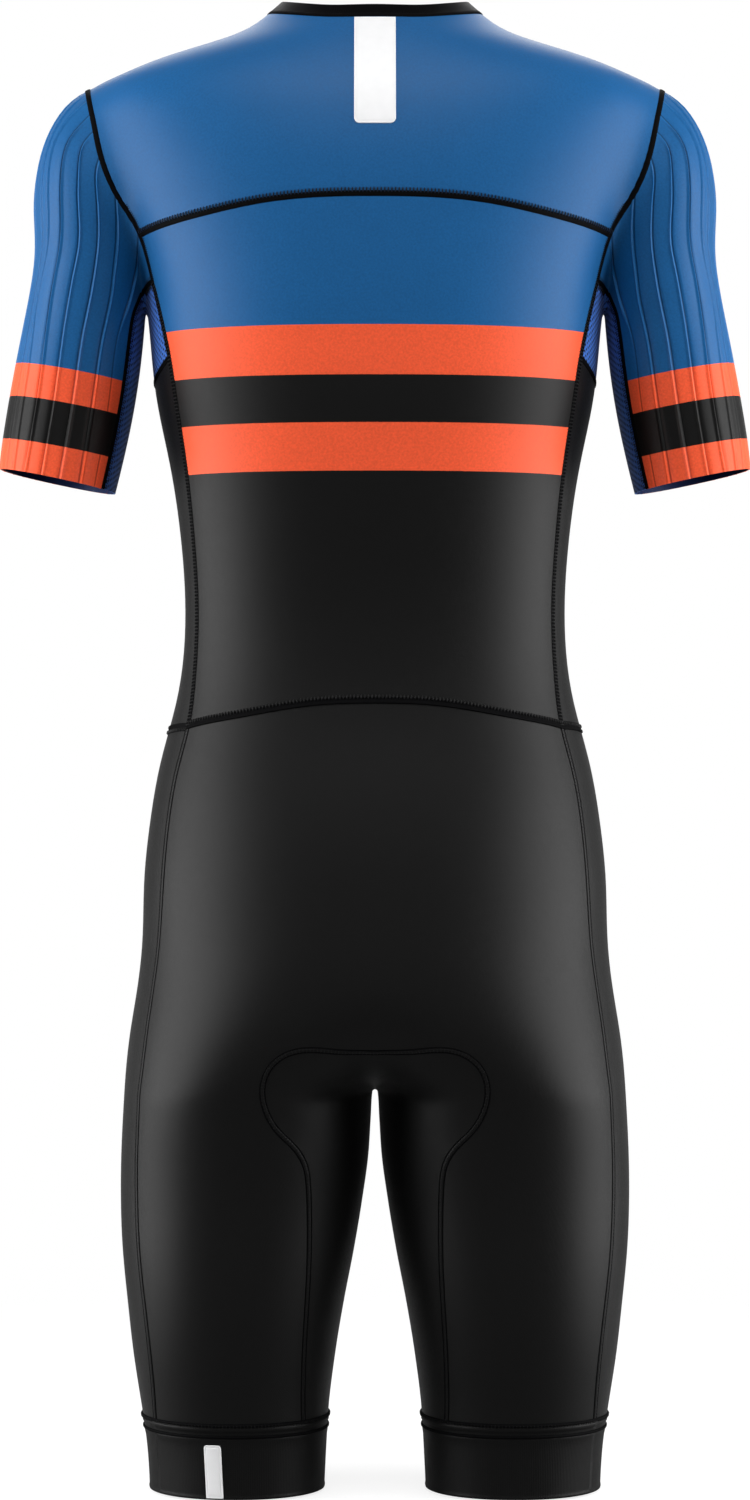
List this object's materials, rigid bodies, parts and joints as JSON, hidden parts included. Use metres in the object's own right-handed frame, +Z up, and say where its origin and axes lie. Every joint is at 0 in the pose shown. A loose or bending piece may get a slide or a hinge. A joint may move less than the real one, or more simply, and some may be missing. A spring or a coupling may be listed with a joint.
{
  "type": "triathlon suit",
  "caption": "Short-sleeved triathlon suit, filled out as worn, with ribbed sleeves, mesh under the arms, a front zip with a hinged pull tab, and gripper bands at the legs.",
  "frame": {"origin": "between the shoulders, on the suit's centre line, level with the foot of the neck band", "axes": "+Z up along the suit, +X to the wearer's left, -Y out of the chest where the zip is"},
  "size_m": [0.5206, 0.2452, 1.0263],
  "materials": {
    "blue_tricot": "smooth knit with a soft sheen",
    "black_tricot": "smooth knit with a soft sheen",
    "blue_mesh": "open net knit",
    "gripper_tape": "smooth elastic band",
    "heat_label": "smooth film",
    "zip_tape": "woven tape",
    "zip_coil": "moulded coil",
    "zip_metal": "dark enamel"
  },
  "bodies": {
    "garment": {"yoke": "blue_tricot", "back_body": "blue_tricot", "front_body_left": "blue_tricot", "front_body_right": "blue_tricot", "side_panel_left": "black_tricot", "side_panel_right": "black_tricot", "underarm_mesh_left": "blue_mesh", "underarm_mesh_right": "blue_mesh", "sleeve_left": "blue_tricot", "sleeve_right": "blue_tricot", "shorts_back": "black_tricot", "shorts_front": "black_tricot", "shorts_side_left": "black_tricot", "shorts_side_right": "black_tricot", "inner_leg_gusset": "black_tricot", "leg_band_left": "gripper_tape", "leg_band_right": "gripper_tape", "neck_band": "gripper_tape", "neck_label": "heat_label", "hem_tab": "heat_label", "zip_tape": "zip_tape", "zip_chain": "zip_coil", "zip_slider": "zip_metal"},
    "pull_tab": {"zip_pull": "zip_metal"}
  },
  "joints": [
    {"name": "pull_tab_hinge", "type": "hinge", "parent": "garment", "child": "pull_tab", "pos_m": [0, -0.10344, -0.08279], "axis": [-1, 0, 0], "range_deg": [0, 150]}
  ]
}
